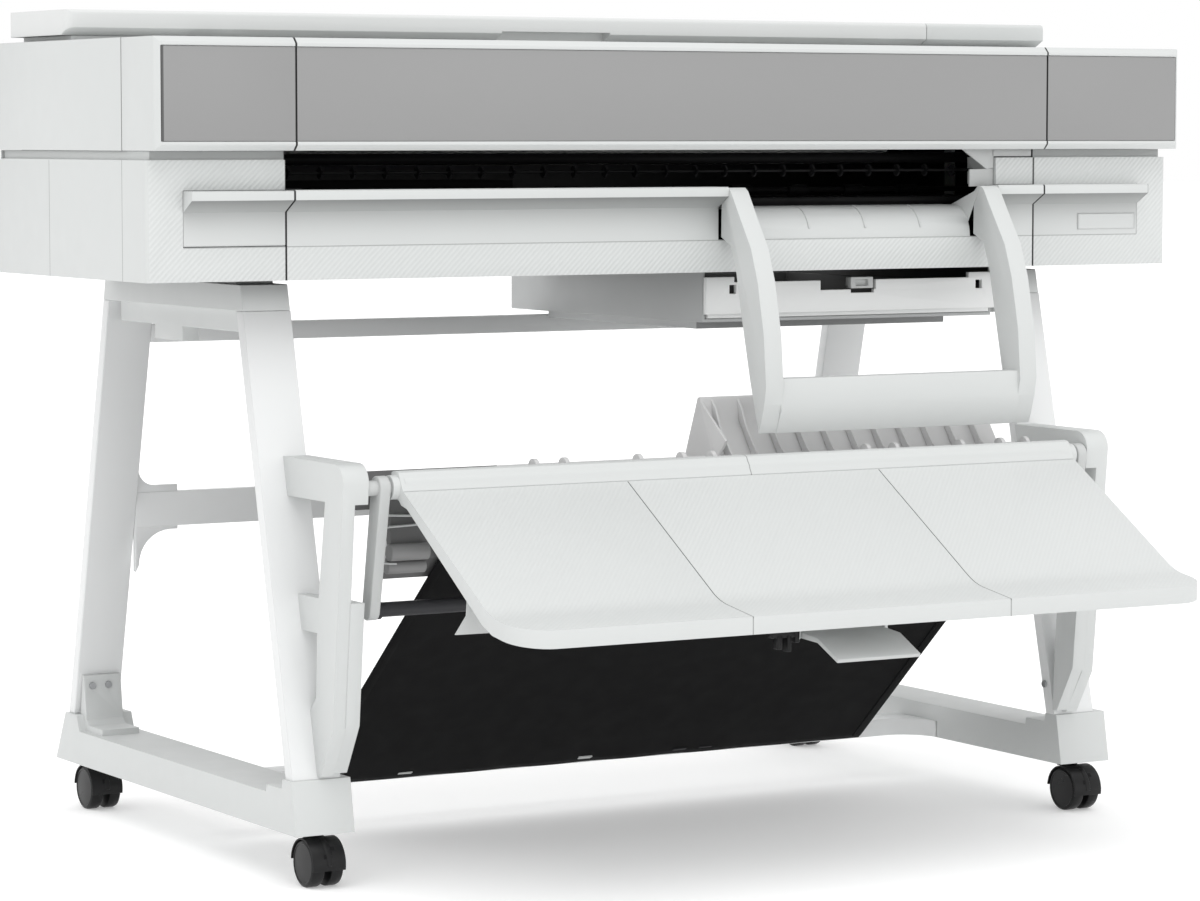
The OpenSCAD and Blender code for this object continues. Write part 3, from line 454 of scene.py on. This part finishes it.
def panel():
    """Grey front panels with dark gaps at the left end, beside the window and along its top edge."""
    s = Surface("grey_panel", (0.275, 0.275, 0.275), 0.38, cloud=0.015, uneven=0.03, depth=0.00001,
                soften=0.0005)
    s.joint(s.maths("MAXIMUM", s.near("X", WINDOW_LEFT, GAP), s.near("X", WINDOW_RIGHT, GAP)), 0.9)
    s.joint(s.near("X", -0.6507, 0.0028), 0.7)
    middle = s.near("X", (WINDOW_LEFT + WINDOW_RIGHT) / 2, 0.963)
    s.joint(s.maths("MULTIPLY", middle, s.near("Z", 0.8930, 0.0022)), 0.6)
    return s.finish()


def rear_panel():
    """White outside, painted black as shade on the side that closes the print zone."""
    s = Surface("white_plastic_rear", WHITE, 0.46, soften=0.0007)
    middle = s.maths("LESS_THAN", s.maths("ABSOLUTE", s.axis("X")), 0.62)
    s.joint(s.maths("MULTIPLY", s.facing("Y", -0.5), middle), 0.98)
    return s.finish()


def tray_well(name, colour):
    """Plain outside, with painted shade darkening the well that holds the sheets."""
    s = Surface(name, colour, 0.46, soften=0.0007)
    behind_front = s.maths("GREATER_THAN", s.axis("Y"), -0.05)
    right_wall = s.maths("MULTIPLY", s.facing("X", -0.5), s.maths("GREATER_THAN", s.axis("X"), 0.3))
    inner = s.maths("MAXIMUM", s.maths("MAXIMUM", s.facing("Z", 0.5), s.facing("Y", -0.5)), right_wall)
    high = s.maths("GREATER_THAN", s.axis("Z"), 0.58)
    inner = s.maths("MULTIPLY", inner, s.maths("MULTIPLY_ADD", high, 0.5, 0.45))
    s.joint(s.maths("MULTIPLY", behind_front, inner), 1.0)
    return s.finish()


def guide_plastic():
    """Grey paler than the mid grey, a painted light against the shade under the body, with painted shade
    on the front of the left end from its own ribs.
    """
    s = Surface("deflector_grey", (0.60, 0.60, 0.60), 0.45, soften=0.0008)
    left = s.maths("LESS_THAN", s.axis("X"), -0.262)
    s.joint(s.maths("MULTIPLY", left, s.facing("Y", -0.1)), 0.8)
    return s.finish()


def woven():
    """Black woven fabric: crossing threads with a faint sheen."""
    s = Surface("black_fabric", (0.0065, 0.0065, 0.0068), 0.85, cloud=0.18, cloud_scale=3, grain=1600,
                depth=0.00002, shine=0.12)
    along = s.wave((0, 1, -0.88), 0.0011)
    across = s.wave((1, 0, 0), 0.0011)
    s.bump(s.maths("MULTIPLY", along, across), 0.00012, 0.7)
    s.shader.inputs["Sheen Weight"].default_value = 0.02
    s.shader.inputs["Sheen Roughness"].default_value = 0.4
    return s.finish()


surfaces = {
    "white_plastic": Surface("white_plastic", WHITE, 0.46, soften=0.0007).material,
    "pale_plastic": Surface("pale_plastic", PALE, 0.47, soften=0.0006).material,
    "grey_panel": panel(),
    "mid_grey_plastic": Surface("mid_grey_plastic", (0.50, 0.50, 0.50), 0.45, soften=0.0008).material,
    "white_painted_metal": Surface("white_painted_metal", (0.74, 0.75, 0.75), 0.4, cloud=0.02,
                                   grain=800, depth=0.00003, soften=0.0012).material,
    "steel": Surface("steel", (0.56, 0.57, 0.58), 0.34, metal=1.0, cloud=0.06, grain=500, depth=0.00001,
                     stretch=(0.06, 1, 1), uneven=0.08, soften=0.0004).material,
    "dark_metal": Surface("dark_metal", (0.03, 0.03, 0.033), 0.42, cloud=0.08, grain=900,
                          soften=0.0005, shine=0.3).material,
    "dark_plastic": Surface("dark_plastic", (0.016, 0.016, 0.018), 0.5, cloud=0.08, soften=0.0005,
                            shine=0.2).material,
    "black_plastic": Surface("black_plastic", (0.011, 0.011, 0.0115), 0.36, cloud=0.12, grain=1000,
                             depth=0.00003, soften=0.0006, shine=0.25).material,
    "black_gloss": Surface("black_gloss", (0.006, 0.006, 0.007), 0.08, cloud=0.05, uneven=0.02,
                           depth=0.000002, ior=1.5).material,
    "rubber": Surface("rubber", (0.012, 0.012, 0.013), 0.72, cloud=0.15, grain=1800, depth=0.00004,
                      shine=0.2).material,
    "tyre": Surface("tyre", (0.006, 0.006, 0.0065), 0.32, cloud=0.2, cloud_scale=40, grain=900,
                    depth=0.00004, soften=0.0005, shine=0.28).material,
    "paper": Surface("paper", (0.86, 0.86, 0.84), 0.75, cloud=0.01, grain=2500, depth=0.00001).material,
    "black_fabric": woven(),
}
lower_white = ridged_front()
upper_white = jointed()
# the roll cover takes a lighter copy of the white: painted light on its front
lid_lit_white = Surface("white_plastic_lid_lit", LID_LIT, 0.46, soften=0.0007).material

# machinery behind the print opening, coloured near black: partly its own dark colour, partly painted shade
# in the opening
inner_dark_and_shade = Surface("inner_dark_and_shade", DARK, 0.6, cloud=0.1, shine=0.15).material
inside = ("guide_rail", "side_frames", "electronics_box", "star_wheels", "pinch_rollers", "platen",
          "base_pan")

for name, obj in nodes.items():
    obj.data.materials.clear()
    obj.data.materials.append(inner_dark_and_shade if name in inside else surfaces[slots[name]])

# ---------------------------------------------------------------- moulded housings

for name in ("left_lower_cover", "right_lower_cover", "cartridge_door", "front_ledge_cover"):
    rounded(name, 0.0008, material=lower_white)
for name in ("left_upper_cover", "right_upper_cover", "front_window", "rear_housing"):
    rounded(name, 0.001, material=upper_white)
# the roll cover's two left corners are round in plan
corner = 0.0095
left = -0.652
front, rear = at(0, 246, 0).y, at(0, 412, 0).y
past_right, past_side = 1.0, 0.01
plan = ([(past_right, rear + past_side)]
        + arc(left + corner, rear - corner, corner, 90, 180, 8)
        + arc(left + corner, front + corner, corner, 180, 270, 8)
        + [(past_right, front - past_side)])
rounded("roll_cover", 0.0016, 3, 35, material=lid_lit_white, plan=plan)
rounded("control_panel", 0.0014, 3)
for name in ("end_panels", "window_panel"):
    rounded(name, 0.0004)
rounded("output_bail", 0.0013, 3)
rounded("output_ramp", 0.0005)
# the housing takes a darker copy of the white, painted shade, and the tray a lighter copy, painted light
rounded("sheet_tray_housing", 0.001, material=tray_well("sheet_tray_housing_shaded", SHADED))
rounded("sheet_tray", 0.0012, material=tray_well("sheet_tray_lit_with_shaded_well", LIT_WHITE))
rounded("tray_latch", 0.0008)
rounded("stand_caps", 0.0012)
rounded("legs", 0.0015, 3)
rounded("feet", 0.0015, 3)
rounded("crossbars", 0.0012)
rounded("stacker_brackets", 0.0022, 3)
rounded("stacker_tray", 0.0012, 3, material=ridged_tray())
rounded("deflector", 0.0008, material=guide_plastic())
rounded("lower_handle", 0.0008)
rounded("rear_cover", 0.0006, material=rear_panel())

# ---------------------------------------------------------------- catch sheet

# it runs from the lower crossbar up to the deflector, almost straight: its middle bows up and
# back by less than 2 mm, and it ripples a little at the lower end; all of this is in metres
sheet_width = 0.746
low, high = at(0, 249, 59), at(0, -76, 346)
along = high - low
out = Vector((0, along.z, -along.y)).normalized()  # square to the sheet, up and back
below_line = 0.001   # how far the sheet's edges lie under the line between its ends
bow_height = 0.0026  # how far its middle stands above its edges
ripple_size = 0.0005
columns, rows = 96, 56
bm = bmesh.new()
grid = []
for i in range(rows + 1):
    t = i / rows
    line = []
    for j in range(columns + 1):
        u = j / columns
        inner = 0 < u < 1
        bow = bow_height * math.sin(math.pi * t) * math.sin(math.pi * u) ** 0.5 if inner else 0.0
        wave = math.sin(2 * math.pi * (u * 7 + 0.3))
        ripple = ripple_size * wave * (1 - t) ** 2 * math.sin(math.pi * u)
        p = low + along * t + out * (bow - ripple - below_line)
        line.append(bm.verts.new(p + Vector(((u - 0.5) * sheet_width, 0, 0))))
    grid.append(line)
for a, b in zip(grid, grid[1:]):
    for j in range(columns):
        bm.faces.new((a[j], a[j + 1], b[j + 1], b[j]))
mesh = mesh_of("catch_fabric", bm)
fabric = piece("catch_fabric", mesh, surfaces["black_fabric"], "root", 60)
thick = fabric.modifiers.new("thickness", "SOLIDIFY")
thick.thickness = 0.0007
thick.offset = 0.0
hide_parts("catch_sheet")

# hems down both sides of the sheet
hem = 0.012
bm = bmesh.new()
for side in (-1, 1):
    edges = sorted((side * (sheet_width / 2 - hem), side * sheet_width / 2))
    corners = []
    for p in (low + along * 0.01, high - along * 0.01):
        for x in edges:
            for n in (-0.0022, 0.0003):
                corners.append(bm.verts.new(p + out * n + Vector((x, 0, 0))))
    for f in ((0, 1, 3, 2), (4, 6, 7, 5), (0, 4, 5, 1), (2, 3, 7, 6), (0, 2, 6, 4), (1, 5, 7, 3)):
        bm.faces.new([corners[k] for k in f])
mesh = bevelled(mesh_of("catch_hems", bm), 0.0006)
hems = piece("catch_hems", mesh, surfaces["black_fabric"], "root")

# clips that hold the lower edge to the crossbar
clip_meshes = {"pale": bmesh.new(), "dark": bmesh.new()}
half_clip = 0.009
y, z = low.y, low.z
clip_outline = [(y - 0.010, z + 0.0055), (y + 0.004, z - 0.001), (y + 0.012, z - 0.001),
                (y + 0.012, z + 0.002), (y + 0.006, z + 0.002), (y - 0.008, z + 0.0085)]
for x, kind in ((-0.250, "pale"), (-0.014, "pale"), (0.115, "dark"), (0.150, "dark")):
    extrude_x(clip_meshes[kind], clip_outline, x - half_clip, x + half_clip)
for kind, bm in clip_meshes.items():
    mesh = bevelled(mesh_of("sheet_clips_" + kind, bm), 0.0005)
    slot = "pale_plastic" if kind == "pale" else "dark_plastic"
    piece("sheet_clips_" + kind, mesh, surfaces[slot], "root")

# ---------------------------------------------------------------- swing frame

shaft = at(0, -86, 422)
rod = at(0, -62, 292)
arm_inner, arm_outer = 0.441, 0.453
arm_outline = arc(shaft.y, shaft.z, 0.0125, -20, 190, 20) + arc(rod.y, rod.z, 0.0105, 190, 340, 14)
bm = bmesh.new()
for side in (-1, 1):
    x0, x1 = sorted((side * arm_inner, side * arm_outer))
    extrude_x(bm, arm_outline, x0, x1)
mesh = bevelled(mesh_of("swing_arms", bm), 0.0014, 3)
arms = piece("swing_arms", mesh, surfaces["pale_plastic"], "swing_frame")

# the rod between the arms, with a thicker collar at each end
bm = bmesh.new()
profile = [(-0.4408, 0.0), (-0.4408, 0.0098), (-0.4370, 0.0098), (-0.4362, 0.0078), (0.4362, 0.0078),
           (0.4370, 0.0098), (0.4408, 0.0098), (0.4408, 0.0)]
lathe(bm, profile, rod, 48)
bar = piece("swing_rod", mesh_of("swing_rod", bm), surfaces["dark_metal"], "swing_frame")
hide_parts("swing_frame")
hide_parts("swing_frame")

# ---------------------------------------------------------------- casters

half_track, front_stem, rear_stem = 492, -13, 568   # millimetres
trail, hub_height = 14, 25
for tag, cx, cy in (("fl", -half_track, front_stem), ("fr", half_track, front_stem),
                    ("rl", -half_track, rear_stem), ("rr", half_track, rear_stem)):
    hub = at(cx, cy - trail, hub_height)
    stem = at(cx, cy, 0)

    # two wheels with a rounded tread, a dished face and a raised hub, on one axle
    bm = bmesh.new()
    for side in (-1, 1):
        a, b = side * 0.0035, side * 0.0185
        lathe(bm, [(a, 0.0), (a, 0.0225), (a + side * 0.0008, 0.0243), (a + side * 0.0022, 0.025),
                   (b - side * 0.0030, 0.025), (b - side * 0.0012, 0.0243), (b - side * 0.0002, 0.0225),
                   (b, 0.0212), (b - side * 0.0006, 0.0206), (b - side * 0.0002, 0.012), (b, 0.0)],
              hub, 96)
    lathe(bm, [(-0.004, 0.0), (-0.004, 0.003), (0.004, 0.003), (0.004, 0.0)], hub, 32)
    body = "wheels_" + tag
    wheels = piece(body + "_tyres", mesh_of("wheels", bm), surfaces["tyre"], body, 30)
    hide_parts("wheels_" + tag)

    # hooded fork: the hood over the wheels, and the web between them
    bm = bmesh.new()
    hood = arc(hub.y, hub.z, 0.0272, 176, -12, 38) + arc(hub.y, hub.z, 0.0254, -12, 176, 38)
    extrude_x(bm, mirrored(hood, hub.y), hub.x - 0.0192, hub.x + 0.0192)
    web = ([(stem.y + 0.010, 0.054)] + mirrored(arc(hub.y, hub.z, 0.028, 110, 0, 12), hub.y)
           + [(hub.y - 0.010, 0.022), (stem.y + 0.002, 0.018), (stem.y + 0.010, 0.034)])
    extrude_x(bm, web, hub.x - 0.003, hub.x + 0.003)
    mesh = bevelled(mesh_of("hood", bm), 0.0007, 2)

    # collar and stem, which are not bevelled
    bm = bmesh.new()
    bm.from_mesh(mesh)
    for low_end, high_end, r in ((0.0505, 0.0565, 0.012), (0.0505, 0.086, 0.005)):
        prism(bm, circle(stem.x, stem.y, low_end, r), circle(stem.x, stem.y, high_end, r))
    body = "caster_" + tag
    fork = piece(body + "_hood", mesh_of("hood", bm), surfaces["black_plastic"], body, 30)
    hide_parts("caster_" + tag)

    # slots of the lock in the front of the hood, near-black pieces that paint the shade inside the slots:
    # two places along X, and two angles
    bm = bmesh.new()
    for x0, x1, a0, a1 in ((-0.001, 0.004, 24, 52), (0.003, 0.008, 34, 44), (-0.006, -0.001, 16, 26)):
        slot_outline = arc(hub.y, hub.z, 0.02745, a0, a1, 5) + arc(hub.y, hub.z, 0.0266, a1, a0, 5)
        extrude_x(bm, mirrored(slot_outline, hub.y), hub.x + x0, hub.x + x1)
    piece(body + "_slots", mesh_of("slots", bm), inner_dark_and_shade, body)

# ---------------------------------------------------------------- small fittings

# ribs and rollers under the left end of the deflector
bm = bmesh.new()
for x0, z0, x1, z1 in ((-441, 391.5, -384, 388.5), (-434, 378.5, -392, 380.0),
                       (-441, 341.5, -420, 340.0)):
    extrude_y(bm, [(x0, z0 - 1), (x1, z1 - 1), (x1, z1 + 1), (x0, z0 + 1)], -70, -60)
mesh = bevelled(mesh_of("deflector_ribs", bm), 0.0004)
piece("deflector_ribs", mesh, surfaces["pale_plastic"], "root")
bm = bmesh.new()
for y, z, r in ((-70, 352, 0.009), (-63, 336, 0.007)):
    profile = [(-0.430, 0.0), (-0.430, r - 0.001), (-0.429, r), (-0.385, r), (-0.384, 0.0)]
    lathe(bm, profile, at(0, y, z), 32)
shaded = Surface("shaded_grey", (0.22, 0.22, 0.22), 0.45, soften=0.0006).material
piece("deflector_rollers", mesh_of("deflector_rollers", bm), shaded, "root")

# cheeks that frame the right end of the print opening
bm = bmesh.new()
extrude_y(bm, [(364, 772), (411, 772), (411, 748), (401, 747)], 30, 33)
extrude_y(bm, [(378, 747), (411, 747.5), (411, 727), (378, 727)], 31, 34)
extrude_y(bm, [(409, 761.5), (464.5, 761.5), (464.5, 770), (409, 770)], 30, 33)
mesh = bevelled(mesh_of("opening_cheeks", bm), 0.0006)
piece("opening_cheeks", mesh, surfaces["pale_plastic"], "root")

# thin cheek between the right end of the output ramp and the bail
bm = bmesh.new()
outline = [at(0, y, z).yz for y, z in ((70, 704.5), (9.6, 725.3), (31.6, 686.7), (60, 696))]
extrude_x(bm, outline, 0.3761, 0.3768)
piece("ramp_cheek", mesh_of("ramp_cheek", bm), surfaces["white_plastic"], "root")

# tab under the left edge of the stacker tray, and the dark mechanism beside the flap
bm = bmesh.new()
extrude_y(bm, [(-429.5, 281.3), (-416.5, 300), (-414, 338), (-391, 338), (-391, 281)], -217, -214)
mesh = bevelled(mesh_of("tray_tab", bm), 0.0005)
piece("tray_tab", mesh, surfaces["pale_plastic"], "stacker_tray")
bm = bmesh.new()
for x0, x1, z0, z1, y0, y1 in ((-84, -56, 262, 281, -272, -262), (-78, -72, 250, 264, -273, -263),
                               (-66, -61, 247, 264, -273, -263), (-56, -50, 256, 281, -272, -262)):
    extrude_y(bm, [(x0, z0), (x1, z0), (x1, z1), (x0, z1)], y0, y1)
mesh = bevelled(mesh_of("tray_mechanism", bm), 0.0008)
piece("tray_mechanism", mesh, surfaces["black_plastic"], "stacker_tray")

# ---------------------------------------------------------------- blank plate

# a thin plate laid on the right lower cover, with a raised rim, found by rays from the front
cad = nodes["right_lower_cover"].data
corners = [v.co.copy() for v in cad.vertices]
cover = BVHTree.FromPolygons(corners, [tuple(f.vertices) for f in cad.polygons])
x0, x1, z0, z1 = 0.5295, 0.6135, 0.676, 0.6945
across, up = 24, 12
rim_width, rim_height, plate_height = 0.0012, 0.0006, 0.0003
in_front = -1.0   # y from which the rays start
plate = []
bm = bmesh.new()
for i in range(up + 1):
    z = z0 + (z1 - z0) * i / up
    line = []
    for j in range(across + 1):
        x = x0 + (x1 - x0) * j / across
        rim = min(x - x0, x1 - x, z - z0, z1 - z) < rim_width
        face_y = cover.ray_cast(Vector((x, in_front, z)), Vector((0, 1, 0)))[0].y
        line.append(bm.verts.new((x, face_y - (rim_height if rim else plate_height), z)))
    plate.append(line)
for a, b in zip(plate, plate[1:]):
    for j in range(across):
        bm.faces.new((a[j], a[j + 1], b[j + 1], b[j]))
mesh = mesh_of("blank_plate", bm)
label = piece("blank_plate", mesh, surfaces["white_plastic"], "root", 20)
thick = label.modifiers.new("thickness", "SOLIDIFY")
thick.thickness = 0.0003
thick.offset = 0.0

# ---------------------------------------------------------------- stage, light and camera

bm = bmesh.new()
floor = [bm.verts.new(p) for p in ((-30, -20, 0), (40, -20, 0), (40, 60, 0), (-30, 60, 0))]
bm.faces.new(floor)
ground = linked("floor", mesh_of("floor", bm))
paint = Surface("floor_paint", (0.80, 0.80, 0.80), 0.9, cloud=0.002, uneven=0.02, depth=0.00001,
                shine=0.1)
paint.shader.inputs["Emission Color"].default_value = (1.0, 1.0, 1.0, 1.0)
paint.shader.inputs["Emission Strength"].default_value = 0.3
ground.data.materials.append(paint.material)

world = bpy.data.worlds.new("studio")
bpy.context.scene.world = world
world.use_nodes = True
sky = world.node_tree.nodes["Background"]
sky.inputs["Color"].default_value = (1.0, 1.0, 1.0, 1.0)
sky.inputs["Strength"].default_value = 1.0


def distant_light(name, energy, spread, direction):
    """A distant light; its spread in degrees makes its shadows soft."""
    light = linked(name, bpy.data.lights.new(name, "SUN"))
    light.data.energy = energy
    light.data.angle = math.radians(spread)
    light.rotation_euler = Vector(direction).to_track_quat("-Z", "Y").to_euler()


distant_light("softbox", 1.0, 50, (0.2, 0.35, -0.9))
distant_light("front_fill", 0.22, 40, (-0.25, 1.0, -0.1))

# the camera stands in front of the left end, level with the body; yaw and pitch are in radians
camera = linked("camera", bpy.data.cameras.new("camera"))
camera.data.sensor_width = 36
camera.data.lens = 122.838
camera.data.clip_start = 0.1
camera.data.clip_end = 200
camera.data.dof.use_dof = False
camera.location = (-2.37478, -3.97138, 0.78635)
yaw, pitch = 0.52685, 0.0769
level = math.cos(pitch)
forward = Vector((math.sin(yaw) * level, math.cos(yaw) * level, -math.sin(pitch)))
camera.rotation_euler = forward.to_track_quat("-Z", "Y").to_euler()
bpy.context.scene.camera = camera
bpy.context.scene.view_settings.view_transform = "Standard"
